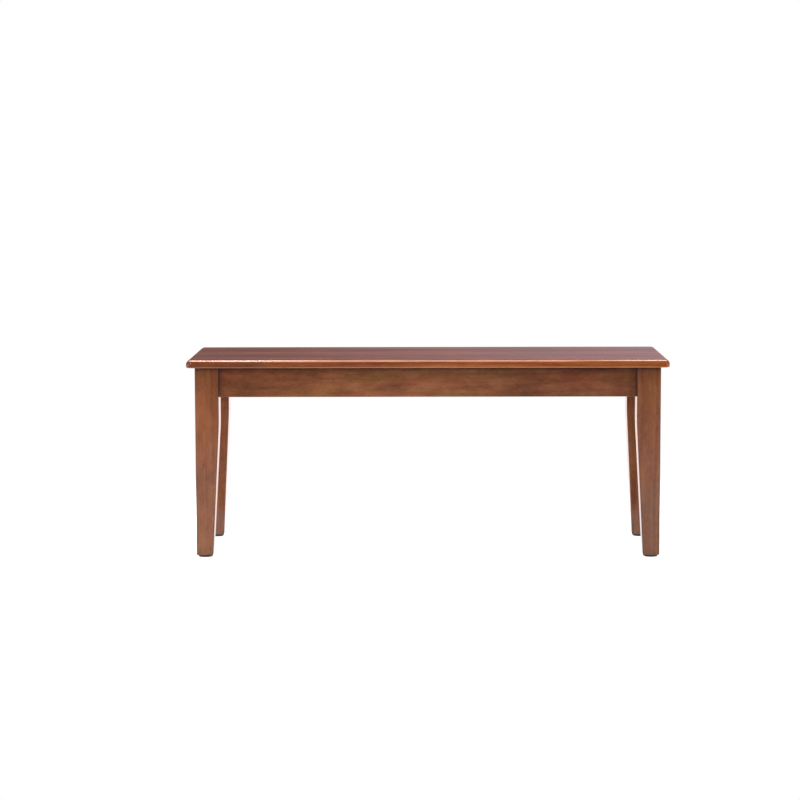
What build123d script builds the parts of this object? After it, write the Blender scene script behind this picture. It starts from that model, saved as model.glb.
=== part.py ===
from build123d import *
import math
import os

# Driving sizes in millimetres. X runs along the bench, Y from front to back and Z up. The origin
# is on the floor, under the middle of the seat.
seat_length = 1104.0
seat_width = 362.0
seat_thickness = 19.0
seat_height = 458.0
seat_end_overhang = 19.0
seat_side_overhang = 16.0

# Seat edges and boards
seat_edge_flat = 4.0
seat_bottom_round = 3.0
seat_corner_extra = 1.0
seat_board_count = 5

# Legs: square at the top, with the two inside faces tapered towards the foot
leg_size = 54.5
leg_foot_size = 38.4
leg_taper_drop = 62.0
leg_taper_blend = 600.0
leg_edge_round = 2.5
leg_foot_chamfer = 1.0
leg_land_width = 22.0

# Aprons, with the saw groove for the seat clips
apron_height = 68.0
apron_thickness = 20.0
apron_setback = 4.0
apron_edge_round = 1.5
groove_drop = 10.0
groove_height = 3.0
groove_depth = 10.0

# Corner blocks
block_gap = 9.0
block_thickness = 22.0
block_height = 50.0
block_drop = 3.0
block_edge_chamfer = 1.0
tongue_inset = 4.0
tongue_width = 5.0
tongue_depth = 6.0

# Centre brace
brace_thickness = 19.0
brace_height = 50.0
brace_housing = 6.0
brace_edge_chamfer = 1.5
brace_counterbore_depth = 22.0
brace_screw_place_share = 0.5

# Hanger bolts and what is on them
bolt_diameter = 8.0
bolt_spacing = 26.0
bolt_depth_in_leg = 36.0
bolt_tip = 7.0
bolt_stickout = 6.0
bolt_end_chamfer = 1.0
bolt_hole_clearance = 0.5
washer_diameter = 18.0
washer_thickness = 1.6
spring_washer_diameter = 14.8
spring_washer_thickness = 2.0
spring_washer_split = 1.5
spring_washer_split_angle = 15.0
nut_flats = 13.0
nut_height = 6.5
nut_chamfer = 0.6
nut_face_rim = 0.3

# Wood screws: one shank and one head serve the blocks, the clips and the brace
screw_diameter = 4.0
screw_tip = 5.0
screw_head_diameter = 8.0
screw_head_height = 2.6
screw_head_round = 1.2
screw_recess_length = 3.8
screw_recess_width = 0.9
screw_recess_depth = 1.4
screw_hole_clearance = 0.4
screw_bore_clearance = 0.6
block_screw_offset = 8.0
block_screw_seat = 7.0
block_screw_spacing = 24.0
block_screw_bite = 14.0
seat_screw_bite = 13.0

# Seat clips
clip_thickness = 2.0
clip_width = 16.0
clip_flange = 17.0
clip_standoff = 1.5
clip_tab_reach = 8.0
clip_bend_radius = 1.0
clip_place_shares = (-0.7, -0.3, 0.3, 0.7)

# Glides and their nails
glide_diameter = 32.0
glide_thickness = 5.0
glide_edge_round = 1.0
nail_diameter = 2.4
nail_length = 22.0
nail_point = 3.0
nail_head_diameter = 7.0
nail_head_thickness = 1.2
nail_recess = 2.4
nail_recess_clearance = 0.5

# Clearance of pieces that fit in each other, and how far a cut runs past its piece
fit_clearance = 0.1
cut_overrun = 5.0

# Angles in degrees
quarter_turn = 90.0
half_turn = 180.0

# Levels and places worked out from the sizes above. The base is measured over its legs.
base_length = seat_length - 2 * seat_end_overhang
base_width = seat_width - 2 * seat_side_overhang
seat_underside_z = seat_height - seat_thickness
seat_top_round = seat_thickness - seat_bottom_round - seat_edge_flat
seat_corner_radius = seat_top_round + seat_corner_extra
apron_bottom_z = seat_underside_z - apron_height
apron_inner = apron_setback + apron_thickness
long_apron_length = base_length - 2 * leg_size
end_apron_length = base_width - 2 * leg_size
leg_taper_z = apron_bottom_z - leg_taper_drop

# Places along the diagonal of a corner, measured from the outside corner of the leg
land_distance = math.sqrt(2) * leg_size - leg_land_width / 2
block_near = land_distance + block_gap
block_far = block_near + block_thickness
washer_end = block_far + washer_thickness
spring_washer_end = washer_end + spring_washer_thickness
nut_end = spring_washer_end + nut_height
block_top_z = seat_underside_z - block_drop
block_bottom_z = block_top_z - block_height
block_middle_z = (block_top_z + block_bottom_z) / 2
bolt_levels = (block_middle_z - bolt_spacing / 2, block_middle_z + bolt_spacing / 2)
block_screw_levels = (
    block_middle_z - block_screw_spacing / 2,
    block_middle_z + block_screw_spacing / 2,
)

# Places along an apron's inner face, measured from the outside of the leg
block_footing = math.sqrt(2) * block_near - apron_inner
tongue_place = block_footing + tongue_inset + tongue_width / 2
block_screw_place = block_footing + tongue_inset + tongue_width + block_screw_offset

corners = {
    "front_left": (-1, -1),
    "front_right": (1, -1),
    "rear_left": (-1, 1),
    "rear_right": (1, 1),
}


def at_corner(piece, side_x, side_y):
    """Move a piece built at the outside corner of a leg to one corner of the bench."""
    if side_x > 0:
        piece = mirror(piece, about=Plane.YZ)
    if side_y > 0:
        piece = mirror(piece, about=Plane.XZ)
    return Pos(side_x * base_length / 2, side_y * base_width / 2, 0) * piece


def across_diagonal(piece):
    """Mirror a piece built at a leg's outside corner across that corner's diagonal."""
    return mirror(piece, about=Plane((0, 0, 0), z_dir=(1, -1, 0)))


def on_bolt_axis(piece, level):
    """Lay a piece built along Z on the diagonal of a corner, at a level."""
    return Plane((0, 0, level), x_dir=(0, 0, 1), z_dir=(1, 1, 0)) * piece


def round_bar(radius, start, end):
    """A cylinder along Z from one height to another."""
    bar = Cylinder(radius, end - start, align=(Align.CENTER, Align.CENTER, Align.MIN))
    return Pos(0, 0, start) * bar


def block_between(low, high):
    """A box from its lowest corner to its highest."""
    size = [top - bottom for bottom, top in zip(low, high)]
    middle = [(top + bottom) / 2 for bottom, top in zip(low, high)]
    return Pos(*middle) * Box(*size)


def turned(points):
    """A solid of revolution about Z from points given as radius and height."""
    outline = make_face(Polyline(*points, close=True))
    return revolve(Plane.XZ * outline, Axis.Z)


def wood_screw(length):
    """A pan head screw that points down, with the underside of its head at zero."""
    radius = screw_diameter / 2
    head = round_bar(screw_head_diameter / 2, 0, screw_head_height)
    head = fillet(head.edges().sort_by(Axis.Z)[-1], screw_head_round)
    shank = turned([(0, 0), (radius, 0), (radius, screw_tip - length), (0, -length)])
    slot = Box(screw_recess_length, screw_recess_width, 2 * screw_recess_depth)
    cross = slot + Rot(0, 0, quarter_turn) * slot
    return head + shank - Pos(0, 0, screw_head_height) * cross


def screw_hole(length, clearance):
    """The hole for a screw's shank, from above its head's underside to past its point."""
    return round_bar(screw_diameter / 2 + clearance, -length - fit_clearance, cut_overrun)


def seat_panel():
    """The glued up seat, with rounded corners and edges, before it is cut into boards."""
    outline = RectangleRounded(seat_length, seat_width, seat_corner_radius)
    panel = Pos(0, 0, seat_underside_z) * extrude(outline, seat_thickness)
    panel = fillet(panel.faces().sort_by(Axis.Z)[-1].edges(), seat_top_round)
    return fillet(panel.faces().sort_by(Axis.Z)[0].edges(), seat_bottom_round)


def seat_boards(panel):
    """The panel cut along its glue lines into boards, front board first."""
    board_width = seat_width / seat_board_count
    boards = []
    for index in range(seat_board_count):
        front = -seat_width / 2 + index * board_width
        low = (-seat_length / 2, front, seat_underside_z)
        high = (seat_length / 2, front + board_width, seat_height)
        boards.append(panel & block_between(low, high))
    return boards


def leg_side():
    """The leg seen square to an outside face: straight outside, tapered inside."""
    outline = make_face(
        Polyline(
            (0, glide_thickness),
            (leg_foot_size, glide_thickness),
            (leg_size, leg_taper_z),
            (leg_size, seat_underside_z),
            (0, seat_underside_z),
            close=True,
        )
    )
    bend = outline.vertices().sort_by_distance((leg_size, leg_taper_z, 0))[0]
    return fillet(bend, leg_taper_blend)


def leg():
    """A leg with its outside corner on the Z axis, its land and its bolt and nail holes."""
    side = leg_side()
    body = extrude(Plane.XZ * side, -leg_size) & extrude(Plane.YZ * side, leg_size)
    long_edges = [edge for edge in body.edges() if edge.bounding_box().size.Z > leg_edge_round]
    body = fillet(long_edges, leg_edge_round)
    body = chamfer(body.faces().sort_by(Axis.Z)[0].edges(), leg_foot_chamfer)
    reach = leg_size + cut_overrun
    land_sum = math.sqrt(2) * land_distance
    notch = make_face(
        Polyline((land_sum - reach, reach), (reach, reach), (reach, land_sum - reach), close=True)
    )
    notch = extrude(notch, apron_height + cut_overrun)
    body -= Pos(0, 0, apron_bottom_z) * notch
    hole_start = land_distance - bolt_depth_in_leg - fit_clearance
    bolt_hole = round_bar(bolt_diameter / 2 + fit_clearance, hole_start, block_far)
    for level in bolt_levels:
        body -= on_bolt_axis(bolt_hole, level)
    nail_top = nail_recess + nail_length + fit_clearance
    nail_hole = round_bar(nail_diameter / 2 + fit_clearance, 0, nail_top)
    return body - Pos(leg_foot_size / 2, leg_foot_size / 2, 0) * nail_hole


def glide():
    """The round glide under a foot, with a recess below for the head of its nail."""
    disc = round_bar(glide_diameter / 2, 0, glide_thickness)
    disc = fillet(disc.edges().sort_by(Axis.Z)[0], glide_edge_round)
    disc -= round_bar(nail_head_diameter / 2 + nail_recess_clearance, -cut_overrun, nail_recess)
    disc -= round_bar(nail_diameter / 2 + fit_clearance, 0, glide_thickness + cut_overrun)
    return Pos(leg_foot_size / 2, leg_foot_size / 2, 0) * disc


def glide_nail():
    """The nail of a glide: its head bears on the recess and its point is up in the leg."""
    head_z = nail_recess - nail_head_thickness
    head = round_bar(nail_head_diameter / 2, head_z, nail_recess)
    radius = nail_diameter / 2
    point_z = nail_recess + nail_length
    shank = turned(
        [(0, head_z), (radius, head_z), (radius, point_z - nail_point), (0, point_z)]
    )
    return Pos(leg_foot_size / 2, leg_foot_size / 2, 0) * (head + shank)


def apron_blank(length):
    """A rail along X with its inner face at Y zero and its top at Z zero, edges eased."""
    low = (-length / 2, -apron_thickness, -apron_height)
    rail = block_between(low, (length / 2, 0, 0))
    rail = fillet(rail.edges().filter_by(Axis.X).group_by(Axis.Z)[0], apron_edge_round)
    groove_top = -groove_drop
    groove_low = (-length / 2 - cut_overrun, -groove_depth, groove_top - groove_height)
    return rail - block_between(groove_low, (length / 2 + cut_overrun, cut_overrun, groove_top))


def tongue_groove():
    """The upright groove for a corner block's tongue, centred on X, in an inner face."""
    half = tongue_width / 2 + fit_clearance
    low = (-half, -tongue_depth - fit_clearance, -apron_height - cut_overrun)
    return block_between(low, (half, cut_overrun, cut_overrun))


def long_apron():
    """The front apron, with grooves for the corner blocks and the housing for the brace."""
    rail = apron_blank(long_apron_length)
    for side in (-1, 1):
        rail -= Pos(side * (base_length / 2 - tongue_place), 0, 0) * tongue_groove()
    half = brace_thickness / 2 + fit_clearance
    housing_low = (-half, -brace_housing - fit_clearance, -brace_height)
    rail -= block_between(housing_low, (half, cut_overrun, cut_overrun))
    rail = Pos(0, apron_inner - base_width / 2, seat_underside_z) * rail
    for side_x, side_y in (corners["front_left"], corners["front_right"]):
        for hole in block_screw_holes():
            rail -= at_corner(hole, side_x, side_y)
    return rail


def end_apron():
    """The left apron, with grooves for the corner blocks."""
    rail = apron_blank(end_apron_length)
    for side in (-1, 1):
        rail -= Pos(side * (base_width / 2 - tongue_place), 0, 0) * tongue_groove()
    rail = Rot(0, 0, -quarter_turn) * rail
    rail = Pos(apron_inner - base_length / 2, 0, seat_underside_z) * rail
    for side_x, side_y in (corners["front_left"], corners["rear_left"]):
        for hole in block_screw_holes():
            rail -= at_corner(across_diagonal(hole), side_x, side_y)
    return rail


def block_screw_frames():
    """Where the screws from a corner block into the long apron sit, pointing out."""
    seat_y = apron_inner + block_screw_seat
    turn = Rot(-quarter_turn, 0, 0)
    return [Pos(block_screw_place, seat_y, level) * turn for level in block_screw_levels]


def block_screws():
    """The screws from a corner block into both of its aprons."""
    screw = wood_screw(block_screw_seat + block_screw_bite)
    screws = [frame * screw for frame in block_screw_frames()]
    return screws + [across_diagonal(screw) for screw in screws]


def block_screw_holes():
    """The holes in the long apron for the screws of one corner block."""
    hole = screw_hole(block_screw_seat + block_screw_bite, fit_clearance)
    return [frame * hole for frame in block_screw_frames()]


def corner_block():
    """The diagonal block behind a leg, with a tongue for each apron and its holes."""
    near = math.sqrt(2) * block_near
    far = math.sqrt(2) * block_far
    outline = make_face(
        Polyline(
            (near - apron_inner, apron_inner),
            (far - apron_inner, apron_inner),
            (apron_inner, far - apron_inner),
            (apron_inner, near - apron_inner),
            close=True,
        )
    )
    block = Pos(0, 0, block_bottom_z) * extrude(outline, block_height)
    block = chamfer(block.faces().sort_by(Axis.Z)[0].edges(), block_edge_chamfer)
    tongue = block_between(
        (tongue_place - tongue_width / 2, apron_inner - tongue_depth, block_bottom_z),
        (tongue_place + tongue_width / 2, apron_inner + block_edge_chamfer, block_top_z),
    )
    block += [tongue, across_diagonal(tongue)]
    bolt_hole = round_bar(bolt_diameter / 2 + bolt_hole_clearance, land_distance, nut_end)
    for level in bolt_levels:
        block -= on_bolt_axis(bolt_hole, level)
    shank_hole = screw_hole(block_screw_seat + block_screw_bite, screw_hole_clearance)
    head_bore = round_bar(
        screw_head_diameter / 2 + screw_bore_clearance, 0, block_thickness
    )
    for frame in block_screw_frames():
        hole = frame * (shank_hole + head_bore)
        block = block - hole - across_diagonal(hole)
    return block


def hanger_bolt():
    """A bolt with a wood thread and point in the leg and a nut thread through the block."""
    radius = bolt_diameter / 2
    start = land_distance - bolt_depth_in_leg
    end = nut_end + bolt_stickout
    return turned(
        [
            (0, start),
            (radius, start + bolt_tip),
            (radius, end - bolt_end_chamfer),
            (radius - bolt_end_chamfer, end),
            (0, end),
        ]
    )


def flat_washer():
    """The washer that bears on the corner block."""
    ring = round_bar(washer_diameter / 2, block_far, washer_end)
    return ring - round_bar(bolt_diameter / 2 + bolt_hole_clearance, 0, nut_end)


def spring_washer():
    """The split lock washer, pressed flat under the nut."""
    ring = round_bar(spring_washer_diameter / 2, washer_end, spring_washer_end)
    ring -= round_bar(bolt_diameter / 2 + fit_clearance, 0, nut_end)
    middle = (washer_end + spring_washer_end) / 2
    split = Box(spring_washer_diameter, spring_washer_split, spring_washer_diameter)
    split = Rot(spring_washer_split_angle, 0, 0) * split
    return ring - Pos(spring_washer_diameter / 2, 0, middle) * split


def hex_nut():
    """The hexagon nut, with both faces bevelled."""
    corner = nut_flats / math.sqrt(3)
    prism = extrude(RegularPolygon(corner, 6), nut_height)
    face = nut_flats / 2 - nut_face_rim
    bevel = turned(
        [
            (0, 0),
            (face, 0),
            (corner, nut_chamfer),
            (corner, nut_height - nut_chamfer),
            (face, nut_height),
            (0, nut_height),
        ]
    )
    nut = Pos(0, 0, spring_washer_end) * (prism & bevel)
    return nut - round_bar(bolt_diameter / 2 + fit_clearance, 0, nut_end + cut_overrun)


def brace_screw_places():
    """Where the two screws of the brace stand along Y."""
    half = base_width / 2 - apron_inner
    return (-half * brace_screw_place_share, half * brace_screw_place_share)


def brace_screw_length():
    """From the bottom of the counterbore in the brace up into the seat."""
    return brace_height - brace_counterbore_depth + seat_screw_bite


def upward(piece, x, y, z):
    """Place a piece that points down so that it points up."""
    return Pos(x, y, z) * Rot(half_turn, 0, 0) * piece


def brace_seat_z():
    """The level on which the heads of the brace screws bear."""
    return seat_underside_z - brace_height + brace_counterbore_depth


def centre_brace():
    """The cross rail in the middle, its ends housed in the two long aprons."""
    half_length = base_width / 2 - apron_inner + brace_housing
    low = (-brace_thickness / 2, -half_length, seat_underside_z - brace_height)
    brace = block_between(low, (brace_thickness / 2, half_length, seat_underside_z))
    brace = chamfer(brace.edges().filter_by(Axis.Y).group_by(Axis.Z)[0], brace_edge_chamfer)
    bore = round_bar(
        screw_head_diameter / 2 + screw_bore_clearance, 0, brace_counterbore_depth + cut_overrun
    )
    hole = bore + screw_hole(brace_screw_length(), screw_hole_clearance)
    for y in brace_screw_places():
        brace -= upward(hole, 0, y, brace_seat_z())
    return brace


def brace_screws():
    """The long screws through the brace into the seat."""
    screw = wood_screw(brace_screw_length())
    return [upward(screw, 0, y, brace_seat_z()) for y in brace_screw_places()]


def clip_frames():
    """Where the seat clips sit: on an apron's inner face, with X pointing inwards."""
    long_y = base_width / 2 - apron_inner
    end_x = base_length / 2 - apron_inner
    frames = []
    for share in clip_place_shares:
        x = share * long_apron_length / 2
        frames.append(Pos(x, -long_y, seat_underside_z) * Rot(0, 0, quarter_turn))
        frames.append(Pos(x, long_y, seat_underside_z) * Rot(0, 0, -quarter_turn))
    frames.append(Pos(-end_x, 0, seat_underside_z))
    frames.append(Pos(end_x, 0, seat_underside_z) * Rot(0, 0, half_turn))
    return frames


def clip_hole_place():
    """How far the clip's screw stands from the apron's inner face."""
    return clip_standoff + (clip_thickness + clip_flange) / 2


def seat_clip():
    """A Z shaped clip: its tab bears under the groove's upper wall, its flange on the seat."""
    rise = clip_standoff + clip_thickness
    tab_z = -groove_drop
    outline = make_face(
        Polyline(
            (-clip_tab_reach, tab_z),
            (clip_standoff, tab_z),
            (clip_standoff, 0),
            (clip_standoff + clip_flange, 0),
            (clip_standoff + clip_flange, -clip_thickness),
            (rise, -clip_thickness),
            (rise, tab_z - clip_thickness),
            (-clip_tab_reach, tab_z - clip_thickness),
            close=True,
        )
    )
    inner_bends = [(clip_standoff, tab_z, 0), (rise, -clip_thickness, 0)]
    outer_bends = [(clip_standoff, 0, 0), (rise, tab_z - clip_thickness, 0)]
    for point in inner_bends:
        corner = outline.vertices().sort_by_distance(point)[0]
        outline = fillet(corner, clip_bend_radius)
    for point in outer_bends:
        corner = outline.vertices().sort_by_distance(point)[0]
        outline = fillet(corner, clip_bend_radius + clip_thickness)
    clip = extrude(Plane.XZ * outline, clip_width / 2, both=True)
    hole_radius = screw_diameter / 2 + screw_hole_clearance
    hole = round_bar(hole_radius, -clip_thickness - cut_overrun, cut_overrun)
    return clip - Pos(clip_hole_place(), 0, 0) * hole


def clip_screw_length():
    """Through the clip and into the seat."""
    return clip_thickness + seat_screw_bite


def on_clip(piece):
    """Place a piece that points down on each clip so that it points up into the seat."""
    upturned = upward(piece, clip_hole_place(), 0, -clip_thickness)
    return [frame * upturned for frame in clip_frames()]


def save(name, solids):
    """Write one sub-part, which may be a group of alike pieces."""
    shape = solids[0] if len(solids) == 1 else Compound(children=solids)
    export_step(shape, os.path.join("parts", name + ".step"))


def main():
    """Build every piece of the bench and write it."""
    os.makedirs("parts", exist_ok=True)

    panel = seat_panel()
    for hole in on_clip(screw_hole(clip_screw_length(), fit_clearance)):
        panel -= hole
    brace_hole = screw_hole(brace_screw_length(), fit_clearance)
    for y in brace_screw_places():
        panel -= upward(brace_hole, 0, y, brace_seat_z())
    for index, board in enumerate(seat_boards(panel)):
        save(f"seat_board_{index + 1}", [board])

    front_apron = long_apron()
    save("apron_front", [front_apron])
    save("apron_rear", [mirror(front_apron, about=Plane.XZ)])
    left_apron = end_apron()
    save("apron_left", [left_apron])
    save("apron_right", [mirror(left_apron, about=Plane.YZ)])

    save("centre_brace", [centre_brace()])
    save("brace_screws", brace_screws())

    for name, sides in corners.items():
        save("leg_" + name, [at_corner(leg(), *sides)])
        save("corner_block_" + name, [at_corner(corner_block(), *sides)])
        save("glide_" + name, [at_corner(glide(), *sides)])

    fasteners = {
        "hanger_bolts": [on_bolt_axis(hanger_bolt(), level) for level in bolt_levels],
        "flat_washers": [on_bolt_axis(flat_washer(), level) for level in bolt_levels],
        "spring_washers": [on_bolt_axis(spring_washer(), level) for level in bolt_levels],
        "hex_nuts": [on_bolt_axis(hex_nut(), level) for level in bolt_levels],
        "block_screws": block_screws(),
        "glide_nails": [glide_nail()],
    }
    for name, pieces in fasteners.items():
        save(name, [at_corner(piece, *sides) for sides in corners.values() for piece in pieces])

    save("seat_clips", [frame * seat_clip() for frame in clip_frames()])
    save("clip_screws", on_clip(wood_screw(clip_screw_length())))


main()
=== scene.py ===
"""Looks of a plain wooden bench: its finishes, the floor, the lamps and the camera."""

import logging
import math
from dataclasses import dataclass
from enum import Enum

import bpy
from mathutils import Matrix, Vector


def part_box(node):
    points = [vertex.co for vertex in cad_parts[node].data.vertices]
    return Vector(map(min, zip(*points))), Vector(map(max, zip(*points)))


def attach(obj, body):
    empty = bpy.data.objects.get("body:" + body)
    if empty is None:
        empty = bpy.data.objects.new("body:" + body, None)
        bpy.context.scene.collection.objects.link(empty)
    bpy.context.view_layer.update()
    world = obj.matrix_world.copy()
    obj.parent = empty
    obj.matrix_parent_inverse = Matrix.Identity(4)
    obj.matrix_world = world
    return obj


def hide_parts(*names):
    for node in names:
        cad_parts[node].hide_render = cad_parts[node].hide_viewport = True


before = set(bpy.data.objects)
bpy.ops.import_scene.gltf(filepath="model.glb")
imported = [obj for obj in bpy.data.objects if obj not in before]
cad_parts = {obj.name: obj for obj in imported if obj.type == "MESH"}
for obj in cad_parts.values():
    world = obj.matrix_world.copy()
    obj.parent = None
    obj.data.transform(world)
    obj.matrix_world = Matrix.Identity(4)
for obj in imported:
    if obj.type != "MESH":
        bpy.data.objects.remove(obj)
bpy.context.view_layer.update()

log = logging.getLogger("bench")

MILLIMETRES = 1000.0
WHITE = (1.0, 1.0, 1.0, 1.0)
CORNERS = ("front_left", "front_right", "rear_left", "rear_right")

Colour = tuple[float, float, float, float]
Span = tuple[float, float]
Drift = tuple[tuple[float, tuple[float, float, float]], ...]


class GrainAxis(Enum):
    """The row axis that a piece's grain runs along, with the two axes across it."""

    LENGTH = ("X", "Y", "Z")
    WIDTH = ("Y", "X", "Z")
    HEIGHT = ("Z", "X", "Y")


class Layer(Enum):
    """The layers of a board's figure, each with the number that sets its noise apart."""

    SWAY_ASIDE = 3.0
    SWAY_DOWN = 7.0
    BLOTCH = 11.0
    MOTTLE = 17.0
    STREAK = 23.0
    FIBRE = 37.0
    HUE = 41.0
    FLECK = 53.0
    PORE = 61.0
    LACQUER = 71.0


def stain(red: int, green: int, blue: int) -> Colour:
    """Turn a colour as a picture shows it into the linear colour that a shader takes.

    Args:
        red: The red of the colour, 0 to 255.
        green: The green of the colour, 0 to 255.
        blue: The blue of the colour, 0 to 255.

    Returns:
        The linear colour, opaque.
    """
    linear = []
    for value in (red, green, blue):
        share = value / 255
        low = share / 12.92
        high = ((share + 0.055) / 1.055) ** 2.4
        linear.append(low if share <= 0.04045 else high)
    return (linear[0], linear[1], linear[2], 1.0)


class Signal:
    """A number that varies over a surface, with Python's own arithmetic."""

    def __init__(self, sheet: "ShaderSheet", socket: bpy.types.NodeSocket) -> None:
        """Wrap an output socket.

        Args:
            sheet: The node tree that the socket is in.
            socket: The output that carries the number.
        """
        self.sheet = sheet
        self.socket = socket

    def __add__(self, other: "Signal | float") -> "Signal":
        """Add a number."""
        return self.sheet.math("ADD", self, other)

    def __radd__(self, other: float) -> "Signal":
        """Add to a number."""
        return self.sheet.math("ADD", other, self)

    def __sub__(self, other: "Signal | float") -> "Signal":
        """Take a number away."""
        return self.sheet.math("SUBTRACT", self, other)

    def __rsub__(self, other: float) -> "Signal":
        """Take this from a number."""
        return self.sheet.math("SUBTRACT", other, self)

    def __mul__(self, other: "Signal | float") -> "Signal":
        """Multiply by a number."""
        return self.sheet.math("MULTIPLY", self, other)

    def __rmul__(self, other: float) -> "Signal":
        """Multiply a number by this."""
        return self.sheet.math("MULTIPLY", other, self)

    def __truediv__(self, other: "Signal | float") -> "Signal":
        """Divide by a number."""
        return self.sheet.math("DIVIDE", self, other)

    def __pow__(self, other: "Signal | float") -> "Signal":
        """Raise to a power."""
        return self.sheet.math("POWER", self, other)

    def swing(self, reach: float) -> "Signal":
        """Swing about nothing by a reach, as a number from 0 to 1 swings about its middle."""
        return (self - 0.5) * reach

    def rise(self, low: float, high: float) -> "Signal":
        """Go smoothly from 0 to 1 between two values.

        Args:
            low: The value that gives 0.
            high: The value that gives 1, which may be the smaller one.

        Returns:
            The share.
        """
        settings = {"interpolation_type": "SMOOTHSTEP"}
        values = {"Value": self, "From Min": low, "From Max": high}
        return self.sheet.add("ShaderNodeMapRange", settings, values)


class ShaderSheet:
    """One node tree, with a method for any node and short ones for those that repeat."""

    def __init__(self, tree: bpy.types.NodeTree) -> None:
        """Empty a node tree and take it over.

        Args:
            tree: The tree of a material or of the world.
        """
        self.tree = tree
        tree.nodes.clear()

    def add(self, kind: str, settings: dict, values: dict, out: int | str = 0) -> Signal:
        """Add any node.

        Args:
            kind: The node's type.
            settings: Its own settings, such as an operation or a ramp's stops.
            values: What each input takes: a value or a signal.
            out: The name or number of the output to use.

        Returns:
            The chosen output.
        """
        node = self.tree.nodes.new(kind)
        for name, value in settings.items():
            if name == "stops":
                self._set_stops(node.color_ramp, value)
            else:
                setattr(node, name, value)
        for name, value in values.items():
            self._feed(node.inputs[name], value)
        return Signal(self, node.outputs[out])

    def math(self, operation: str, first: Signal | float, second: Signal | float = 0.0) -> Signal:
        """Add one Math node."""
        return self.add("ShaderNodeMath", {"operation": operation}, {0: first, 1: second})

    def mix(self, share: Signal | float, first: Signal | Colour, second: Signal | Colour) -> Signal:
        """Mix two colours by a share."""
        settings = {"data_type": "RGBA", "clamp_factor": True}
        return self.add("ShaderNodeMix", settings, {0: share, 6: first, 7: second}, out=2)

    def tint(self, first: Signal, second: Signal | Colour, share: Signal | float) -> Signal:
        """Multiply a colour by another, by a share."""
        settings = {"data_type": "RGBA", "blend_type": "MULTIPLY", "clamp_factor": True}
        return self.add("ShaderNodeMix", settings, {0: share, 6: first, 7: second}, out=2)

    def ramp(self, place: Signal, stops: list[tuple[float, Colour]]) -> Signal:
        """Read a colour off a ramp of stops, each a place from 0 to 1 and a colour."""
        return self.add("ShaderNodeValToRGB", {"stops": stops}, {"Fac": place})

    def coordinate(self, kind: str, axis: str) -> Signal:
        """Read one axis of the surface's place, "Object", or of the way that it faces, "Normal"."""
        place = self.add("ShaderNodeTexCoord", {}, {}, out=kind)
        return self.add("ShaderNodeSeparateXYZ", {}, {"Vector": place}, out=axis)

    def noise(self, scale: float, detail: float) -> Signal:
        """Add noise from 0 to 1 over the surface.

        Args:
            scale: How many waves it has in a metre.
            detail: How many finer layers it has.

        Returns:
            The noise.
        """
        place = self.add("ShaderNodeTexCoord", {}, {}, out="Object")
        values = {"Vector": place, "Scale": scale, "Detail": detail}
        return self.add("ShaderNodeTexNoise", {}, values, out="Fac")

    def bump(self, height: Signal, depth: float, strength: float) -> Signal:
        """Turn a height into a relief of a depth in metres and a strength from 0 to 1."""
        values = {"Strength": strength, "Distance": depth, "Height": height}
        return self.add("ShaderNodeBump", {}, values)

    def glow(self, colour: Signal | Colour, strength: float = 1.0) -> Signal:
        """Add a shader that glows."""
        return self.add("ShaderNodeEmission", {}, {"Color": colour, "Strength": strength})

    def blend(self, share: Signal, first: Signal, second: Signal) -> Signal:
        """Blend two shaders, by the share of the second."""
        return self.add("ShaderNodeMixShader", {}, {0: share, 1: first, 2: second})

    def end(self, kind: str, shader: Signal) -> None:
        """Close the tree with its output node."""
        output = self.tree.nodes.new(kind)
        self.tree.links.new(shader.socket, output.inputs["Surface"])

    def finish(self, values: dict) -> None:
        """Close a material's tree with a principled shader that takes these values."""
        self.end("ShaderNodeOutputMaterial", self.add("ShaderNodeBsdfPrincipled", {}, values))

    def _feed(self, socket: bpy.types.NodeSocket, value: object) -> None:
        """Set an input to a value, or link it.

        Args:
            socket: The input.
            value: What it takes: a value or a signal.
        """
        if isinstance(value, Signal):
            self.tree.links.new(value.socket, socket)
        else:
            socket.default_value = value

    @staticmethod
    def _set_stops(ramp: bpy.types.ColorRamp, stops: list[tuple[float, Colour]]) -> None:
        """Give a ramp its stops.

        Args:
            ramp: The ramp of a node.
            stops: Each stop's place from 0 to 1 and its colour.
        """
        while len(ramp.elements) < len(stops):
            ramp.elements.new(1.0)
        for element, (place, colour) in zip(ramp.elements, stops):
            element.position = place
            element.color = colour


def new_material(name: str) -> tuple[bpy.types.Material, ShaderSheet]:
    """Make a material with an empty tree.

    Args:
        name: The material's name.

    Returns:
        The material and the sheet to fill its tree with.
    """
    material = bpy.data.materials.new(name)
    material.use_nodes = True
    return material, ShaderSheet(material.node_tree)


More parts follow.
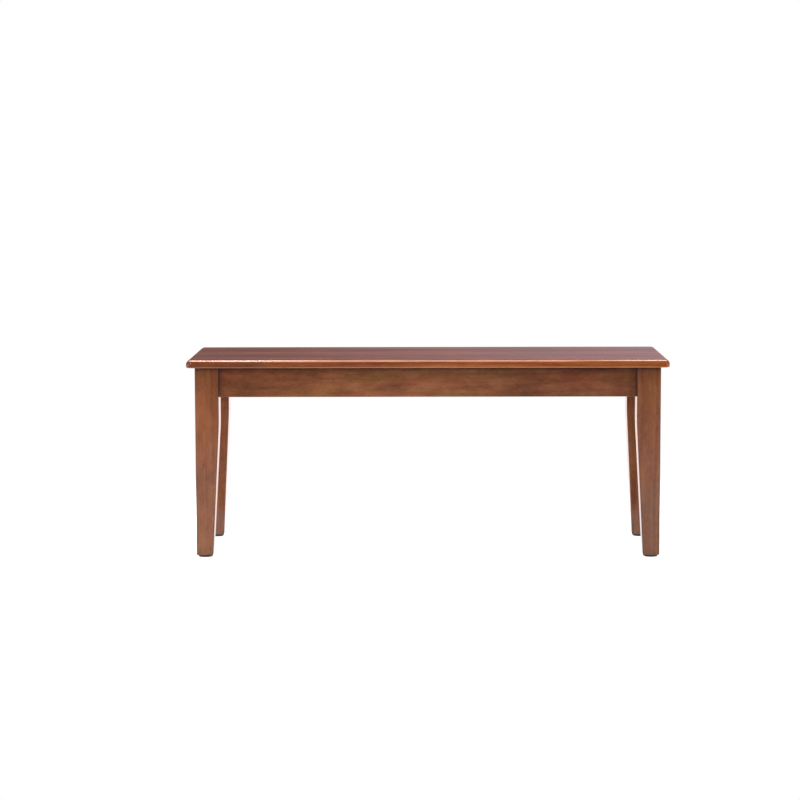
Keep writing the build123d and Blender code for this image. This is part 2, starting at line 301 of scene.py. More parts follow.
class Grain:
    """A place in a board, counted along, across and through its grain in millimetres."""

    def __init__(
        self, sheet: ShaderSheet, along: Signal, across: Signal, through: Signal, seed: float
    ) -> None:
        """Take the board's own directions.

        Args:
            sheet: The node tree.
            along: Distance along the grain.
            across: Distance across it.
            through: Distance through the board.
            seed: The board's own number.
        """
        self.sheet = sheet
        self.along = along
        self.across = across
        self.through = through
        self.seed = seed

    def swayed(self, length: float, width: float, reach: float) -> "Grain":
        """Bend the grain gently from side to side.

        Args:
            length: How far apart the bends are along the grain.
            width: How far apart they are across it.
            reach: How far the grain is carried from one side to the other.

        Returns:
            The bent grain.
        """
        aside = self.noise(Layer.SWAY_ASIDE, length, width).swing(reach)
        down = self.noise(Layer.SWAY_DOWN, length, width).swing(reach)
        return Grain(self.sheet, self.along, self.across + aside, self.through + down, self.seed)

    def noise(self, layer: Layer, length: float, width: float, detail: float = 0.0) -> Signal:
        """Noise from 0 to 1, stretched along the grain.

        Args:
            layer: The layer of the figure that it is for.
            length: Its length along the grain.
            width: Its width across the grain.
            detail: How many finer layers it has.

        Returns:
            The noise.
        """
        parts = {"X": self.along / length, "Y": self.across / width, "Z": self.through / width}
        vector = self.sheet.add("ShaderNodeCombineXYZ", {}, parts)
        values = {"Vector": vector, "W": self.seed + layer.value, "Scale": 1.0, "Detail": detail}
        return self.sheet.add("ShaderNodeTexNoise", {"noise_dimensions": "4D"}, values)

    def bands(self, side: float, depth: float, width: float) -> Signal:
        """Growth bands from 0 to 1, as shells round the pith.

        Args:
            side: How far the pith is from the bench's middle, across the grain.
            depth: How far it is through the board.
            width: The usual width of a band.

        Returns:
            The bands.
        """
        aside = self.across - side
        down = self.through - depth
        radius = self.sheet.math("SQRT", aside * aside + down * down)
        first_band = self.seed * 7.0
        values = {"W": radius / width + first_band, "Scale": 1.0, "Detail": 2.0}
        return self.sheet.add("ShaderNodeTexNoise", {"noise_dimensions": "1D"}, values)


@dataclass(frozen=True)
class Cut:
    """How one board was cut from its log, and how its colour drifts from one end to the other.

    The pith's side and depth are in millimetres. Each stop of a drift is a share of the
    board's length and the tint there: the stain's own drift, and on some pieces painted light
    and shade. A board's upper face has a drift of its own where the top drift is given.
    """

    axis: GrainAxis
    seed: float
    tone: float = 0.0
    warmth: float = 0.0
    pith_side: float = 30.0
    pith_depth: float = 95.0
    drift: Drift = ()
    top_drift: Drift = ()


@dataclass(frozen=True)
class StainedWood:
    """Fine pored hardwood with a warm reddish brown stain under satin lacquer.

    The figure is solid: growth bands are shells round a pith outside the board, so long faces
    show streaks and ends show arcs. Lengths, widths and the sway are in millimetres, and
    reaches, depths and heights in metres. A strength says how far a pattern carries the tone,
    where 0 is the darkest wood, 0.5 the middle and 1 the lightest. Each level by facing is a
    share of the way from facing down to facing up, and a tone there: painted light and shade.
    The darkening of arrises and crevices and the shade under the seat are painted shade. A span
    holds the two values between which a mark comes in: of a noise, of a part of the way that
    the surface faces, of how open the place is, or of its height above the floor.
    """

    name: str
    dark: Colour = (0.085, 0.021, 0.007, 1.0)
    middle: Colour = (0.24, 0.071, 0.022, 1.0)
    light: Colour = (0.42, 0.148, 0.052, 1.0)
    dark_tone: float = 0.2
    middle_tone: float = 0.5
    light_tone: float = 0.8
    red_tint: Colour = (1.0, 0.8, 0.9, 1.0)
    yellow_tint: Colour = (0.94, 1.12, 0.86, 1.0)
    sway_length: float = 300.0
    sway_width: float = 120.0
    sway: float = 26.0
    band_width: float = 6.0
    band_strength: float = 0.2
    blotch_length: float = 90.0
    blotch_width: float = 32.0
    blotch_strength: float = 0.56
    mottle_length: float = 17.0
    mottle_width: float = 9.0
    mottle_strength: float = 0.22
    streak_length: float = 150.0
    streak_width: float = 8.0
    streak_strength: float = 0.26
    fibre_length: float = 22.0
    fibre_width: float = 1.1
    fibre_strength: float = 0.22
    hue_length: float = 120.0
    hue_width: float = 34.0
    hue_strength: float = 0.6
    red_span: Span = (0.5, 0.64)
    yellow_span: Span = (0.5, 0.36)
    fleck_length: float = 10.0
    fleck_width: float = 2.4
    fleck_span: Span = (0.66, 0.8)
    fleck_strength: float = 0.3
    pore_length: float = 4.5
    pore_width: float = 0.4
    pore_span: Span = (0.64, 0.72)
    pore_strength: float = 0.4
    end_span: Span = (0.55, 0.95)
    end_darkening: float = 0.35
    # Levels by facing paint light and shade on the wood by the way each face turns.
    facing_light_levels: tuple[tuple[float, float], ...] = ()
    # Arris marks are painted shade on the rounded edges.
    arris_shade_tint: Colour = (0.62, 0.42, 0.5, 1.0)
    arris_shade_span: Span = (0.99, 0.9)
    arris_shade_strength: float = 0.0
    # Crevice marks are painted shade where something is near.
    crevice_shade_reach: float = 0.01
    crevice_shade_span: Span = (0.93, 0.58)
    crevice_shade_strength: float = 0.5
    shade_tint: Colour = (0.1, 0.05, 0.05, 1.0)
    shade_reach: float = 0.06
    shade_span: Span = (0.2, 0.3)
    shade_fall: float = 0.5
    shade_strength: float = 0.6
    openness_samples: int = 8
    side_span: Span = (0.98, 0.9)
    sheen_roughness: float = 0.4
    roughness_change: float = 0.16
    specular_level: float = 0.05
    lacquer_weight: float = 0.86
    lacquer_change: float = 0.8
    lacquer_length: float = 380.0
    lacquer_width: float = 30.0
    lacquer_roughness: float = 0.1
    grain_depth: float = 0.00004
    grain_strength: float = 0.6

    def make(self, piece: str, cut: Cut) -> bpy.types.Material:
        """Make the finish for one piece of wood.

        Args:
            piece: The node that wears it.
            cut: How this board was cut.

        Returns:
            The material.
        """
        material, sheet = new_material(f"{self.name}_{piece}")
        places = [sheet.coordinate("Object", axis) * MILLIMETRES for axis in cut.axis.value]
        grain = Grain(sheet, *places, cut.seed).swayed(self.sway_length, self.sway_width, self.sway)

        bands = grain.bands(cut.pith_side, cut.pith_depth, self.band_width)
        streak = grain.noise(Layer.STREAK, self.streak_length, self.streak_width, detail=2.0)
        fibre = grain.noise(Layer.FIBRE, self.fibre_length, self.fibre_width, detail=2.0)
        pore = grain.noise(Layer.PORE, self.pore_length, self.pore_width).rise(*self.pore_span)
        lacquer = grain.noise(Layer.LACQUER, self.lacquer_length, self.lacquer_width, detail=3.0)
        tone = self._tone(sheet, grain, cut.tone, bands, streak, fibre)
        colour = self._stain(sheet, tone)
        colour = self._lean(sheet, grain, cut.warmth, colour)
        colour = self._marks(sheet, grain, pore, colour)
        colour = self._edges(sheet, cut, colour)
        colour = self._drift(sheet, piece, cut, colour)

        height = fibre * 0.5 + bands * 0.5 - pore
        sheet.finish({
            "Base Color": colour,
            "Roughness": self.sheen_roughness + (streak - fibre) * self.roughness_change,
            "Specular IOR Level": self.specular_level,
            "Coat Weight": self.lacquer_weight + lacquer.swing(self.lacquer_change),
            "Coat Roughness": self.lacquer_roughness,
            "Normal": sheet.bump(height, self.grain_depth, self.grain_strength),
        })
        return material

    def _tone(
        self, sheet: ShaderSheet, grain: Grain, start: float, bands: Signal, streak: Signal, fibre: Signal
    ) -> Signal:
        """How light the wood is, from its growth bands, blotches, streaks and fibres, and from painted
        light and shade by the way the face turns where levels by facing are given.

        Args:
            sheet: The node tree.
            grain: The place in the board.
            start: The board's own tone, on top of the middle.
            bands: The growth bands.
            streak: The long streaks.
            fibre: The fine fibres.

        Returns:
            The tone, 0 at the darkest and 1 at the lightest.
        """
        blotch = grain.noise(Layer.BLOTCH, self.blotch_length, self.blotch_width, detail=2.0)
        mottle = grain.noise(Layer.MOTTLE, self.mottle_length, self.mottle_width, detail=2.0)
        tone = self.middle_tone + start + bands.swing(self.band_strength)
        tone = tone + blotch.swing(self.blotch_strength) + mottle.swing(self.mottle_strength)
        tone = tone + streak.swing(self.streak_strength) + fibre.swing(self.fibre_strength)
        # The tone by the way the face turns is painted light and shade.
        if self.facing_light_levels:
            facing_up = 0.5 + sheet.coordinate("Normal", "Z") * 0.5
            stops = [(share, (level, level, level, 1.0)) for share, level in self.facing_light_levels]
            tone = tone + sheet.ramp(facing_up, stops) - self.middle_tone
        return tone

    def _stain(self, sheet: ShaderSheet, tone: Signal) -> Signal:
        """Give each tone its colour."""
        tones = (self.dark_tone, self.middle_tone, self.light_tone)
        return sheet.ramp(tone, list(zip(tones, (self.dark, self.middle, self.light))))

    def _lean(self, sheet: ShaderSheet, grain: Grain, warmth: float, colour: Signal) -> Signal:
        """Lean the colour to red in some places and to yellow in others.

        Args:
            sheet: The node tree.
            grain: The place in the board.
            warmth: The board's own lean, towards red where it is positive.
            colour: The colour so far.

        Returns:
            The colour.
        """
        lean = grain.noise(Layer.HUE, self.hue_length, self.hue_width, detail=2.0) + warmth
        colour = sheet.tint(colour, self.red_tint, lean.rise(*self.red_span) * self.hue_strength)
        return sheet.tint(colour, self.yellow_tint, lean.rise(*self.yellow_span) * self.hue_strength)

    def _marks(self, sheet: ShaderSheet, grain: Grain, pore: Signal, colour: Signal) -> Signal:
        """Darken the flecks and the pores.

        Args:
            sheet: The node tree.
            grain: The place in the board.
            pore: The pores, 1 inside them.
            colour: The colour so far.

        Returns:
            The colour.
        """
        fleck = grain.noise(Layer.FLECK, self.fleck_length, self.fleck_width).rise(*self.fleck_span)
        colour = sheet.tint(colour, self.dark, fleck * self.fleck_strength)
        return sheet.tint(colour, self.dark, pore * self.pore_strength)

    def _edges(self, sheet: ShaderSheet, cut: Cut, colour: Signal) -> Signal:
        """Darken the end grain, and paint shade on the arrises, in the crevices and on the wood under the
        seat.

        Args:
            sheet: The node tree.
            cut: How this board was cut.
            colour: The colour so far.

        Returns:
            The colour.
        """
        sizes = [sheet.math("ABSOLUTE", sheet.coordinate("Normal", axis)) for axis in cut.axis.value]
        colour = sheet.tint(colour, self.dark, sizes[0].rise(*self.end_span) * self.end_darkening)
        # The rounded arrises get painted shade.
        if self.arris_shade_strength:
            largest = sheet.math("MAXIMUM", sheet.math("MAXIMUM", sizes[0], sizes[1]), sizes[2])
            arris_shade = largest.rise(*self.arris_shade_span) * self.arris_shade_strength
            colour = sheet.tint(colour, self.arris_shade_tint, arris_shade)
        # Places with something near within a short reach, such as corners and joints, get painted shade.
        crevice_shade = self._openness(sheet, self.crevice_shade_reach).rise(*self.crevice_shade_span)
        colour = sheet.tint(colour, self.dark, crevice_shade * self.crevice_shade_strength)
        clear_of_floor = sheet.coordinate("Object", "Z").rise(*self.shade_span)
        shade = (1 - self._openness(sheet, self.shade_reach)) ** self.shade_fall * clear_of_floor
        return sheet.tint(colour, self.shade_tint, shade * self.shade_strength)

    def _openness(self, sheet: ShaderSheet, reach: float) -> Signal:
        """How open a place is within a reach, 1 where nothing is near."""
        settings = {"samples": self.openness_samples}
        return sheet.add("ShaderNodeAmbientOcclusion", settings, {"Distance": reach}, out="AO")

    def _drift(self, sheet: ShaderSheet, piece: str, cut: Cut, colour: Signal) -> Signal:
        """Let the colour drift from one end of the board to the other: the stain's own drift, and on some
        pieces painted light and shade.

        Args:
            sheet: The node tree.
            piece: The node that wears the finish.
            cut: How this board was cut.
            colour: The colour so far.

        Returns:
            The colour.
        """
        if not cut.drift:
            return colour
        axis = cut.axis.value[0]
        low, high = (corner["XYZ".index(axis)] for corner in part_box(piece))
        place = (sheet.coordinate("Object", axis) - low) / (high - low)
        tint = sheet.ramp(place, [(share, (*stop, 1.0)) for share, stop in cut.drift])
        if cut.top_drift:
            top_tint = sheet.ramp(place, [(share, (*stop, 1.0)) for share, stop in cut.top_drift])
            tint = sheet.mix(sheet.coordinate("Normal", "Z").rise(*self.side_span), top_tint, tint)
        return sheet.tint(colour, tint, 1.0)


@dataclass(frozen=True)
class PlainMetal:
    """Zinc plated steel, with the faint cloudiness of the plating."""

    name: str
    bright: Colour = stain(196, 198, 202)
    dull: Colour = stain(150, 152, 158)
    roughness: float = 0.3
    cloud_scale: float = 220.0
    cloud_detail: float = 4.0
    cloud_roughness: float = 0.15

    def make(self) -> bpy.types.Material:
        """Make the finish.

        Returns:
            The material.
        """
        material, sheet = new_material(self.name)
        cloud = sheet.noise(self.cloud_scale, self.cloud_detail)
        sheet.finish({
            "Base Color": sheet.mix(cloud, self.bright, self.dull),
            "Metallic": 1.0,
            "Roughness": self.roughness + cloud * self.cloud_roughness,
        })
        return material


@dataclass(frozen=True)
class GlidePlastic:
    """Dark brown moulded plastic, matt and finely pebbled."""

    name: str = "glide_plastic"
    colour: Colour = stain(62, 54, 53)
    scuffed: Colour = stain(88, 80, 78)
    roughness: float = 0.5
    scuff_scale: float = 140.0
    scuff_detail: float = 5.0
    scuff_span: Span = (0.5, 0.7)
    scuff_roughness: float = 0.2
    pebble_scale: float = 1800.0
    pebble_detail: float = 2.0
    pebble_depth: float = 0.0002
    pebble_strength: float = 0.3

    def make(self) -> bpy.types.Material:
        """Make the finish.

        Returns:
            The material.
        """
        material, sheet = new_material(self.name)
        pebble = sheet.noise(self.pebble_scale, self.pebble_detail)
        scuff = sheet.noise(self.scuff_scale, self.scuff_detail)
        sheet.finish({
            "Base Color": sheet.mix(scuff.rise(*self.scuff_span), self.colour, self.scuffed),
            "Roughness": self.roughness + scuff * self.scuff_roughness,
            "Normal": sheet.bump(pebble, self.pebble_depth, self.pebble_strength),
        })
        return material


@dataclass
class Joinery:
    """The wooden pieces: seat boards, aprons, legs, corner blocks and brace."""

    seat_finish: StainedWood = StainedWood(
        "seat_wood",
        sway_length=420.0,
        sway=15.0,
        blotch_length=330.0,
        blotch_width=26.0,
        blotch_strength=0.5,
        mottle_length=34.0,
        mottle_width=8.0,
        mottle_strength=0.26,
        streak_length=230.0,
        streak_strength=0.5,
        hue_length=260.0,
        hue_width=40.0,
        hue_strength=0.4,
        # Painted light and shade on the seat's front edge: its lower round lighter, darker bands either
        # side of the upper round's highlight, and the top darker.
        facing_light_levels=(
            (0.0, 0.5), (0.02, 0.84), (0.35, 0.84), (0.47, 0.59), (0.6, 0.57), (0.7, 0.42), (0.77, 0.46),
            (0.84, 0.57), (0.95, 0.57), (0.975, 0.42), (0.995, 0.33), (1.0, 0.33),
        ),
    )
    apron_finish: StainedWood = StainedWood("apron_wood", arris_shade_strength=0.5)
    leg_finish: StainedWood = StainedWood(
        "leg_wood",
        blotch_strength=0.4,
        streak_strength=0.15,
        fibre_strength=0.11,
        hue_strength=0.3,
        arris_shade_strength=1.0,
    )
    inner_finish: StainedWood = StainedWood(
        "inner_wood",
        dark=(0.22, 0.12, 0.055, 1.0),
        middle=(0.46, 0.29, 0.15, 1.0),
        light=(0.62, 0.44, 0.26, 1.0),
        lacquer_weight=0.1,
        sheen_roughness=0.6,
    )
    board_seed: float = 1.3
    board_tones: tuple[float, ...] = (0.0, -0.04, 0.04, -0.05, 0.03)
    board_warmths: tuple[float, ...] = (0.0, 0.05, -0.05, 0.06, -0.02)
    board_pith_sides: tuple[float, ...] = (-110.0, -20.0, 70.0, 160.0, 250.0)
    board_pith_depths: tuple[float, ...] = (370.0, 340.0, 310.0, 280.0, 250.0)
    leg_tone: float = 0.08
    leg_seed: float = 21.4
    leg_seed_step: float = 2.7
    brace_seed: float = 19.6
    block_seed: float = 33.0
    edge_drift: Drift = (
        (0.0, (0.75, 0.65, 0.67)), (0.065, (0.75, 0.65, 0.67)), (0.09, (0.61, 0.57, 0.6)),
        (0.15, (0.61, 0.57, 0.6)), (0.18, (0.88, 0.74, 0.75)), (0.34, (0.94, 0.82, 0.94)),
        (0.5, (1.11, 1.01, 1.02)), (0.8, (1.11, 1.02, 0.84)), (1.0, (1.22, 1.06, 0.88)),
    )
    seat_drift: Drift = (
        (0.0, (0.86, 0.9, 1.0)), (0.3, (0.9, 0.94, 1.0)), (0.5, (0.95, 0.98, 1.0)),
        (1.0, (0.95, 1.0, 1.05)),
    )
    # The front apron's drift paints shade at both ends beside the legs and light in its middle, as well
    # as the stain's tone.
    apron_light_and_shade_drift: Drift = (
        (0.0, (0.6, 0.58, 0.62)), (0.008, (0.82, 0.8, 0.84)), (0.02, (1.03, 1.06, 1.11)),
        (0.25, (1.12, 1.23, 1.46)), (0.42, (1.17, 1.38, 1.7)), (0.6, (1.1, 1.32, 1.64)),
        (0.75, (0.87, 0.95, 1.18)), (0.975, (0.85, 0.86, 1.03)), (0.985, (0.7, 0.69, 0.8)),
        (1.0, (0.55, 0.52, 0.56)),
    )
    # The legs' drifts paint shade as well as tone: the front legs darken at their tops under the seat,
    # and the front right leg is darker all along.
    leg_tone_and_shade_drifts: tuple[Drift, ...] = (
        (
            (0.0, (0.96, 0.94, 1.0)), (0.4, (0.9, 0.9, 1.0)), (0.7, (1.05, 1.05, 1.0)),
            (1.0, (0.85, 0.85, 0.9)),
        ),
        (
            (0.0, (0.8, 0.86, 0.97)), (0.24, (0.64, 0.73, 0.96)), (0.45, (0.86, 0.87, 1.02)),
            (0.9, (0.88, 0.9, 0.94)), (1.0, (0.72, 0.7, 0.78)),
        ),
        ((0.0, (1.0, 1.1, 1.6)), (0.6, (1.0, 1.1, 1.5)), (1.0, (0.9, 1.0, 1.3))),
        ((0.0, (0.8, 0.9, 1.2)), (0.6, (0.85, 0.95, 1.15)), (1.0, (0.85, 0.9, 1.05))),
    )

    def dress(self) -> None:
        """Give every wooden piece its own cut of its finish."""
        for index, cut in enumerate(self._board_cuts()):
            self._dress(f"seat_board_{index + 1}", self.seat_finish, cut)
        for side, cut in self._apron_cuts().items():
            self._dress(f"apron_{side}", self.apron_finish, cut)
        self._dress("centre_brace", self.inner_finish, Cut(GrainAxis.WIDTH, self.brace_seed))
        for index, corner in enumerate(CORNERS):
            seed = self.leg_seed + self.leg_seed_step * index
            leg = Cut(GrainAxis.HEIGHT, seed, tone=self.leg_tone, drift=self.leg_tone_and_shade_drifts[index])
            self._dress(f"leg_{corner}", self.leg_finish, leg)
            block = Cut(GrainAxis.LENGTH, self.block_seed + index)
            self._dress(f"corner_block_{corner}", self.inner_finish, block)

    def _board_cuts(self) -> list[Cut]:
        """How each board of the seat was cut, from the front one to the rear one.

        Returns:
            The cuts.
        """
        traits = zip(self.board_tones, self.board_warmths, self.board_pith_sides, self.board_pith_depths)
        cuts = []
        for index, (tone, warmth, side, depth) in enumerate(traits):
            drift = self.seat_drift if index else self.edge_drift
            seed = self.board_seed * (index + 1)
            cuts.append(Cut(GrainAxis.LENGTH, seed, tone, warmth, side, depth, drift, self.seat_drift))
        return cuts

    def _apron_cuts(self) -> dict[str, Cut]:
        """How the apron of each side was cut.

        Returns:
            The cuts.
        """
        along, aside = GrainAxis.LENGTH, GrainAxis.WIDTH
        return {
            "front": Cut(along, 9.1, tone=-0.02, pith_side=-60, pith_depth=380, drift=self.apron_light_and_shade_drift),
            "rear": Cut(along, 12.7, pith_side=60, pith_depth=430),
            "left": Cut(aside, 14.9, pith_side=-420, pith_depth=410),
            "right": Cut(aside, 17.3, pith_side=430, pith_depth=390),
        }

    @staticmethod
    def _dress(node: str, finish: StainedWood, cut: Cut) -> None:
        """Put a finish on one CAD node.

        Args:
            node: The node's name.
            finish: What it is finished with.
            cut: How its board was cut.
        """
        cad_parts[node].material_slots[0].material = finish.make(node, cut)
        log.info("dressed %s in %s", node, finish.name)


@dataclass
class Hardware:
    """The steel fasteners and the glides."""

    zinc_nodes: tuple[str, ...] = (
        "hanger_bolts", "flat_washers", "spring_washers", "hex_nuts", "seat_clips",
    )
    yellow_nodes: tuple[str, ...] = ("block_screws", "brace_screws", "clip_screws", "glide_nails")
    zinc: PlainMetal = PlainMetal("bright_zinc")
    yellow: PlainMetal = PlainMetal("yellow_zinc", bright=stain(214, 190, 128), dull=stain(170, 140, 84))
    plastic: GlidePlastic = GlidePlastic()

    def dress(self) -> None:
        """Give the fasteners and the glides their finishes."""
        self._dress(self.zinc_nodes, self.zinc.make())
        self._dress(self.yellow_nodes, self.yellow.make())
        self._dress(tuple(f"glide_{corner}" for corner in CORNERS), self.plastic.make())

    @staticmethod
    def _dress(nodes: tuple[str, ...], material: bpy.types.Material) -> None:
        """Put one material on several CAD nodes.

        Args:
            nodes: The nodes' names.
            material: What they wear.
        """
        for node in nodes:
            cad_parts[node].material_slots[0].material = material
            log.info("dressed %s in %s", node, material.name)


@dataclass
class HangerBolts:
    """The hanger bolts, with a wood thread in the leg and a nut thread through the block.

    Lengths are in metres. Places along a bolt are measured from its point.
    """

    name: str = "hanger_bolts_threaded"
    radius: float = 0.004
    length: float = 0.0831
    tip_radius: float = 0.0002
    point_length: float = 0.007
    end_chamfer: float = 0.001
    wood_thread_end: float = 0.032
    wood_pitch: float = 0.003
    wood_depth: float = 0.001
    nut_thread_start: float = 0.058
    nut_pitch: float = 0.00125
    nut_depth: float = 0.00072
    rings_per_turn: int = 6
    ring_points: int = 18

    def build(self) -> None:
        """Make the eight bolts and put them where the plain ones are."""
        points: list[Vector] = []
        faces: list[list[int]] = []
        places = self._places()
        for place in places:
            self._add(points, faces, place)
        mesh = bpy.data.meshes.new(self.name)
        mesh.from_pydata(points, [], faces)
        # A bolt's last faces stay flat: two rings for its chamfer, and its two ends.
        faces_each = len(faces) // len(places)
        flat_faces = 2 * self.ring_points + 2
        for polygon in mesh.polygons:
            polygon.use_smooth = polygon.index % faces_each < faces_each - flat_faces
        bolts = bpy.data.objects.new(self.name, mesh)
        bpy.context.scene.collection.objects.link(bolts)
        mesh.materials.append(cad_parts["hanger_bolts"].material_slots[0].material)
        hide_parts("hanger_bolts")
        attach(bolts, "root")
        log.info("made %s", self.name)

    def _places(self) -> list[Matrix]:
        """Where each bolt's point is and which way it goes: inwards, two in each leg.

        Returns:
            The places.
        """
        leg_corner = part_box("leg_front_left")[0]
        low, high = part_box("hanger_bolts")
        start = (low.x - leg_corner.x) * math.sqrt(2)
        places = []
        for side_x in (-1, 1):
            for side_y in (-1, 1):
                way = Vector((-side_x, -side_y, 0)).normalized()
                turn = way.to_track_quat("Z", "Y").to_matrix().to_4x4()
                for level in (low.z + self.radius, high.z - self.radius):
                    corner = Vector((-side_x * leg_corner.x, -side_y * leg_corner.y, level))
                    places.append(Matrix.Translation(corner + way * start) @ turn)
        return places

    def _add(self, points: list[Vector], faces: list[list[int]], place: Matrix) -> None:
        """Add one bolt.

        Args:
            points: The mesh's points so far.
            faces: The mesh's faces so far.
            place: Where the bolt's point is and which way it goes.
        """
        first = len(points)
        count = self.ring_points
        rings = self._rings()
        for along in rings:
            for number in range(count):
                turn = number / count
                radius = self._radius(along, turn)
                angle = 2 * math.pi * turn
                points.append(place @ Vector((radius * math.cos(angle), radius * math.sin(angle), along)))
        for ring in range(len(rings) - 1):
            for number in range(count):
                here = first + ring * count
                after = (number + 1) % count
                faces.append([here + number, here + after, here + count + after, here + count + number])
        faces.append([first + number for number in reversed(range(count))])
        last = first + (len(rings) - 1) * count
        faces.append([last + number for number in range(count)])

    def _rings(self) -> list[float]:
        """Places along the bolt, close together where it is threaded.

        Returns:
            The places.
        """
        places = []
        along = 0.0
        while along < self.length - self.end_chamfer:
            places.append(along)
            if along < self.wood_thread_end:
                along += self.wood_pitch / self.rings_per_turn
            elif along < self.nut_thread_start - self.nut_pitch:
                along = self.nut_thread_start - self.nut_pitch
            else:
                along += self.nut_pitch / self.rings_per_turn
        return places + [self.length - self.end_chamfer / 2, self.length]

    def _radius(self, along: float, turn: float) -> float:
        """The bolt's radius at a place along it and round it.

        Args:
            along: The place along the bolt.
            turn: The place round it, as a share of a turn.

        Returns:
            The radius.
        """
        pitch, depth = self.nut_pitch, self.nut_depth
        if along < self.nut_thread_start - self.nut_pitch / 2:
            pitch, depth = self.wood_pitch, self.wood_depth
        groove = 1 - abs(2 * ((along / pitch - turn) % 1) - 1)
        radius = self.radius - depth * groove
        if self.wood_thread_end < along < self.nut_thread_start:
            radius = self.radius - self.nut_depth / 2
        point = self.tip_radius + (self.radius - self.tip_radius) * along / self.point_length
        end = self.radius - max(0.0, along - self.length + self.end_chamfer)
        return min(radius, point, end)


@dataclass(frozen=True)
class SoftBox:
    """A lamp with a rectangular face. Lengths are in metres and the spread in degrees.

    A lamp that is not mirrored lights the bench, but the lacquer doesn't reflect it.
    """

    name: str
    place: tuple[float, float, float]
    aim: tuple[float, float, float]
    size: tuple[float, float]
    brightness: float
    spread: float = 180.0
    mirrored: bool = True

    def hang(self) -> None:
        """Hang the lamp so that its face has the brightness, where 1 is white."""
        light = bpy.data.lights.new(self.name, "AREA")
        light.shape = "RECTANGLE"
        light.size, light.size_y = self.size
        half_spread = math.radians(self.spread) / 2
        gathered = 1 - half_spread / math.tan(half_spread)
        light.energy = self.brightness * light.size * light.size_y * math.pi * gathered
        light.spread = 2 * half_spread
        lamp = bpy.data.objects.new(self.name, light)
        lamp.location = self.place
        way = Vector(self.aim) - Vector(self.place)
        lamp.rotation_euler = way.to_track_quat("-Z", "Y").to_euler()
        lamp.visible_camera = False
        lamp.visible_glossy = self.mirrored
        bpy.context.scene.collection.objects.link(lamp)
        log.info("hung %s", self.name)


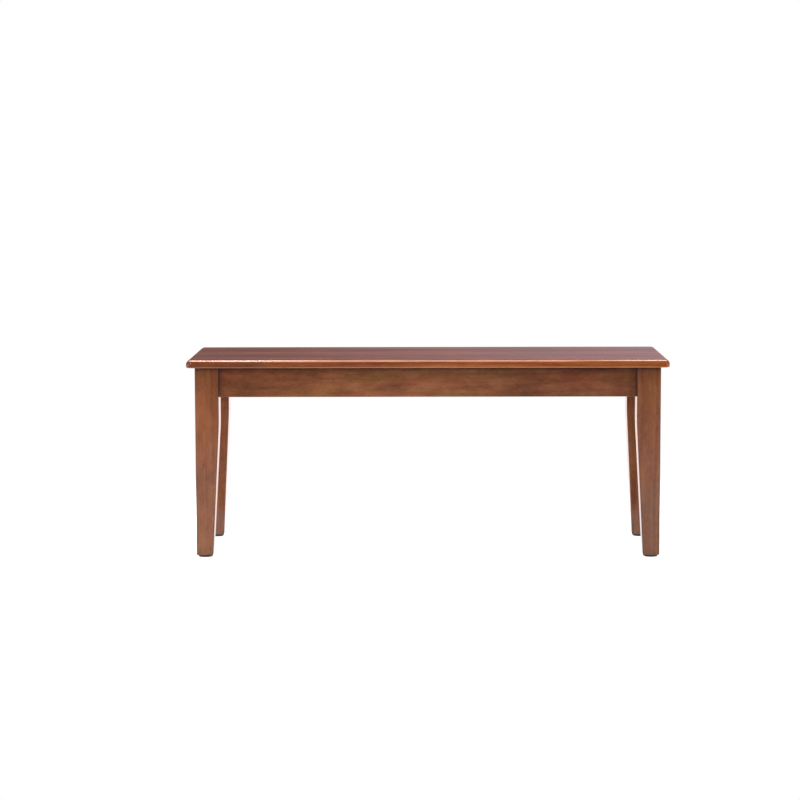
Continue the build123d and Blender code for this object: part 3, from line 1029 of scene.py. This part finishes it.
@dataclass
class Studio:
    """The pale floor, the lamps, the surroundings and the camera.

    Lengths are in metres, but the sensor's width is in millimetres. The lacquer sees a floor of
    its own: in front of the bench white that fades with distance, and behind it a sweep, which
    changes colour far back. A span holds the two values between which one thing gives way to
    the next: a distance from the middle for the floor, a place from front to back for what
    the lacquer sees, and for the wall a part of the way to it from the bench.
    """

    floor_size: float = 40.0
    floor_paint: Colour = (0.8, 0.8, 0.8, 1.0)
    floor_glow: float = 0.84
    floor_span: Span = (0.8, 1.4)
    front_near_level: float = 1.35
    front_far_level: float = 0.15
    front_span: Span = (-0.1, -5.0)
    sweep_colour: Colour = (1.56, 1.32, 1.27, 1.0)
    sweep_far_colour: Colour = (0.15, 0.12, 0.14, 1.0)
    sweep_start_span: Span = (0.1, 0.5)
    sweep_far_span: Span = (4.0, 6.0)
    room_level: float = 0.1
    wall_colour: Colour = (1.33, 1.05, 1.26, 1.0)
    wall_middle: float = 0.17
    wall_least: float = 0.1
    wall_most: float = 0.44
    wall_slope: float = 1.0
    wall_back_span: Span = (0.2, 0.8)
    wall_height_span: Span = (0.5, 0.2)
    seat_aim: tuple[float, float, float] = (0.0, -0.1, 0.4)
    camera_place: tuple[float, float, float] = (0.0, -5.5012, 0.9336)
    camera_yaw: float = -0.01184
    camera_pitch: float = 0.10626
    camera_roll: float = -0.00268
    focal_share: float = 2.9334
    sensor_width: float = 36.0

    def build(self) -> None:
        """Make everything round the bench."""
        self._floor()
        self._surroundings()
        for lamp in self._lamps():
            lamp.hang()
        self._camera()

    def _floor(self) -> None:
        """A white floor that keeps a soft shadow under the bench, and is clear from below."""
        mesh = bpy.data.meshes.new("floor")
        half = self.floor_size / 2
        corners = [(-half, -half, 0), (half, -half, 0), (half, half, 0), (-half, half, 0)]
        mesh.from_pydata(corners, [], [(0, 1, 2, 3)])
        mesh.materials.append(self._floor_finish())
        floor = bpy.data.objects.new("floor", mesh)
        bpy.context.scene.collection.objects.link(floor)

    def _floor_finish(self) -> bpy.types.Material:
        """Paint that glows for the camera and for reflections alone, so it isn't sampled as a lamp.

        Returns:
            The material.
        """
        material, sheet = new_material("white_floor")
        material.cycles.emission_sampling = "NONE"
        place = sheet.add("ShaderNodeTexCoord", {}, {}, out="Object")
        away = sheet.add("ShaderNodeVectorMath", {"operation": "LENGTH"}, {0: place}, out="Value")
        depth = sheet.coordinate("Object", "Y")
        paint = sheet.add("ShaderNodeBsdfDiffuse", {}, {"Color": self.floor_paint})
        near = sheet.add("ShaderNodeAddShader", {}, {0: paint, 1: sheet.glow(WHITE, self.floor_glow)})
        shown = sheet.blend(away.rise(*self.floor_span), near, sheet.glow(WHITE))
        sweep = sheet.mix(depth.rise(*self.sweep_far_span), self.sweep_colour, self.sweep_far_colour)
        front_near = sheet.glow(WHITE, self.front_near_level)
        front_far = sheet.glow(WHITE, self.front_far_level)
        front = sheet.blend(depth.rise(*self.front_span), front_near, front_far)
        mirrored = sheet.blend(depth.rise(*self.sweep_start_span), front, sheet.glow(sweep))
        seen = sheet.add("ShaderNodeLightPath", {}, {}, out="Is Camera Ray")
        glossy = sheet.add("ShaderNodeLightPath", {}, {}, out="Is Glossy Ray")
        from_above = sheet.blend(seen, sheet.blend(glossy, paint, mirrored), shown)
        from_below = sheet.add("ShaderNodeNewGeometry", {}, {}, out="Backfacing")
        clear = sheet.add("ShaderNodeBsdfTransparent", {}, {})
        sheet.end("ShaderNodeOutputMaterial", sheet.blend(from_below, from_above, clear))
        return material

    def _surroundings(self) -> None:
        """White to the camera, and a dim room with a paler wall behind to the bench.

        The room is dim and even, so it isn't sampled as a lamp.
        """
        world = bpy.data.worlds.new("studio")
        bpy.context.scene.world = world
        world.use_nodes = True
        world.cycles.sampling_method = "NONE"
        sheet = ShaderSheet(world.node_tree)
        aside, back, up = (sheet.coordinate("Generated", axis) for axis in "XYZ")
        wall_level = sheet.math("MAXIMUM", self.wall_middle + self.wall_slope * aside, self.wall_least)
        wall_level = sheet.math("MINIMUM", wall_level, self.wall_most)
        wall_share = back.rise(*self.wall_back_span) * up.rise(*self.wall_height_span)
        room = sheet.add("ShaderNodeBackground", {}, {"Strength": self.room_level})
        wall = sheet.add("ShaderNodeBackground", {}, {"Color": self.wall_colour, "Strength": wall_level})
        white = sheet.add("ShaderNodeBackground", {}, {"Color": WHITE, "Strength": 1.0})
        seen = sheet.add("ShaderNodeLightPath", {}, {}, out="Is Camera Ray")
        sheet.end("ShaderNodeOutputWorld", sheet.blend(seen, sheet.blend(wall_share, room, wall), white))

    def _lamps(self) -> list[SoftBox]:
        """Soft boxes overhead, in front at both sides, far out at both sides, and at the back.

        Returns:
            The lamps.
        """
        seat = self.seat_aim
        return [
            SoftBox("overhead_left", (-0.95, 0.2, 2.2), (-0.6, 0.1, 0.4), (0.8, 1.1), brightness=17.5),
            SoftBox("overhead_centre", (-0.1, -0.1, 2.2), (-0.1, -0.1, 0.4), (1.1, 1.4), brightness=4.8),
            SoftBox("overhead_right", (1.05, 0.2, 2.2), (0.7, 0.1, 0.4), (0.8, 1.1), brightness=14.0),
            SoftBox("front_left", (-1.9, -3.9, 2.3), seat, (0.7, 0.7), brightness=36.0, spread=60.0),
            SoftBox("front_right", (3.0, -3.1, 2.4), seat, (0.7, 0.7), brightness=20.0, spread=60.0),
            SoftBox("side_left", (-3.6, -0.9, 1.1), seat, (2.4, 2.0), brightness=2.0, spread=90.0),
            SoftBox("side_right", (3.6, -0.9, 1.1), seat, (2.4, 2.0), brightness=2.0, spread=90.0),
            SoftBox("rear_top", (0.0, 3.2, 2.6), seat, (2.4, 1.2), brightness=3.0, mirrored=False),
        ]

    def _camera(self) -> None:
        """The camera at the photograph's place, turn and lens."""
        data = bpy.data.cameras.new("camera")
        data.sensor_width = self.sensor_width
        data.lens = self.sensor_width * self.focal_share
        camera = bpy.data.objects.new("camera", data)
        bpy.context.scene.collection.objects.link(camera)
        turn = (
            Matrix.Rotation(-self.camera_yaw, 4, "Z")
            @ Matrix.Rotation(math.pi / 2 - self.camera_pitch, 4, "X")
            @ Matrix.Rotation(self.camera_roll, 4, "Z")
        )
        camera.matrix_world = Matrix.Translation(self.camera_place) @ turn
        bpy.context.scene.camera = camera
        bpy.context.scene.view_settings.view_transform = "Standard"


def main() -> None:
    """Dress the bench and set it in its studio."""
    logging.basicConfig(level=logging.INFO, format="%(message)s")
    Joinery().dress()
    Hardware().dress()
    HangerBolts().build()
    Studio().build()


if __name__ == "__main__":
    main()
